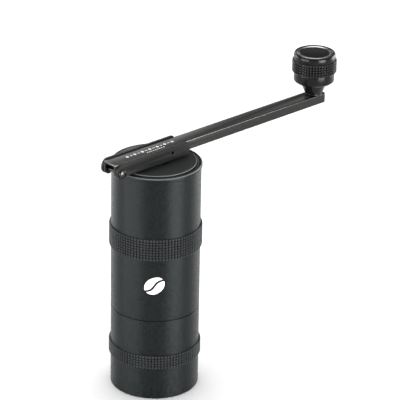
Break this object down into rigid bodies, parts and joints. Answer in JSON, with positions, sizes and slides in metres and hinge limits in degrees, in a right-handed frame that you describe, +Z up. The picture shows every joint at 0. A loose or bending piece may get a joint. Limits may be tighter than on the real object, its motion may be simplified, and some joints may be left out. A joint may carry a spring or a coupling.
{
  "type": "hand crank coffee grinder",
  "caption": "Slim upright hand coffee grinder: black tube with two knurled grip bands, screw-on cup, lift-off lid and a folding side handle with a turning knob.",
  "frame": {"origin": "centre of the cup's flat base, on the tube's axis, at the surface the grinder stands on", "axes": "+Z up along the tube's axis, +X from the tube along the handle to the knob at rest, Y across the handle"},
  "size_m": [0.1692, 0.052, 0.1696],
  "materials": {
    "anodised": "matte black anodised, fine grain",
    "satin_lid": "satin black anodised, turned",
    "matte_bracket": "matte black coated steel",
    "gunmetal": "warm gunmetal, lengthwise brushed",
    "knob_gloss": "glossy black",
    "knob_knurl": "glossy black, knurled",
    "knob_inlay": "satin dark grey",
    "steel": "machined steel",
    "spring_steel": "drawn spring steel",
    "burr_steel": "ground burr steel",
    "bronze": "sintered bronze bush",
    "brass": "machined brass",
    "cast": "cast aluminium",
    "rubber": "black silicone rubber"
  },
  "bodies": {
    "cup": {"cup": "anodised"},
    "seal": {"cup_seal": "rubber"},
    "grinder_body": {"body_tube": "anodised", "outer_burr": "burr_steel", "burr_lock_ring": "steel", "lower_bridge": "cast", "upper_bridge": "cast", "lower_bearing": "steel", "upper_bearing": "steel"},
    "shaft": {"drive_shaft": "steel", "shaft_clip": "spring_steel", "spring_washer": "steel", "burr_spring": "spring_steel"},
    "burr": {"inner_burr": "burr_steel", "click_plate": "steel"},
    "dial": {"adjusting_dial": "brass"},
    "lid": {"lid_disc": "satin_lid", "lid_o_ring": "rubber", "lid_bush": "bronze"},
    "crank": {"drive_socket": "steel", "socket_clip": "spring_steel", "crank_bracket": "matte_bracket", "bracket_screw": "steel", "pivot_screw": "steel", "pivot_nut": "steel"},
    "arm": {"crank_arm": "gunmetal", "detent_ball": "steel", "detent_spring": "spring_steel", "knob_stem": "steel", "stem_screw": "steel"},
    "knob": {"knob_shell": "knob_gloss", "knob_bush": "bronze", "knob_grip": "knob_knurl", "knob_cap": "knob_gloss", "knob_disc": "knob_inlay"}
  },
  "joints": [
    {"name": "thread_travel", "type": "slide", "parent": "cup", "child": "seal", "axis": [0, 0, 1], "range_m": [0, 0.0088]},
    {"name": "thread_turn", "type": "hinge", "parent": "seal", "child": "grinder_body", "pos_m": [0, 0, 0.0486], "axis": [0, 0, 1], "range_deg": [0, 720]},
    {"name": "shaft_turn", "type": "hinge", "parent": "grinder_body", "child": "shaft", "pos_m": [0, 0, 0.0416], "axis": [0, 0, -1], "continuous": true},
    {"name": "burr_travel", "type": "slide", "parent": "shaft", "child": "burr", "axis": [0, 0, -1], "range_m": [0, 0.0012], "deforming": ["burr_spring"]},
    {"name": "dial_turn", "type": "hinge", "parent": "burr", "child": "dial", "pos_m": [0, 0, 0.044], "axis": [0, 0, -1], "range_deg": [0, 540]},
    {"name": "lid_lift", "type": "slide", "parent": "grinder_body", "child": "lid", "axis": [0, 0, 1], "range_m": [0, 0.04]},
    {"name": "crank_turn", "type": "hinge", "parent": "lid", "child": "crank", "pos_m": [0, 0, 0.1364], "axis": [0, 0, -1], "continuous": true},
    {"name": "arm_fold", "type": "hinge", "parent": "crank", "child": "arm", "pos_m": [-0.0312, 0, 0.1389], "axis": [0, 1, 0], "range_deg": [-270, 0]},
    {"name": "knob_spin", "type": "hinge", "parent": "arm", "child": "knob", "pos_m": [0.122, 0, 0.1451], "axis": [0, 0, 1], "continuous": true}
  ],
  "couplings": [
    {"joint": "thread_travel", "follows": "thread_turn", "m_per_rad": 0.00070028},
    {"joint": "dial_turn", "follows": "burr_travel", "rad_per_m": 7853.9},
    {"joint": "shaft_turn", "follows": "crank_turn", "ratio": 1}
  ]
}
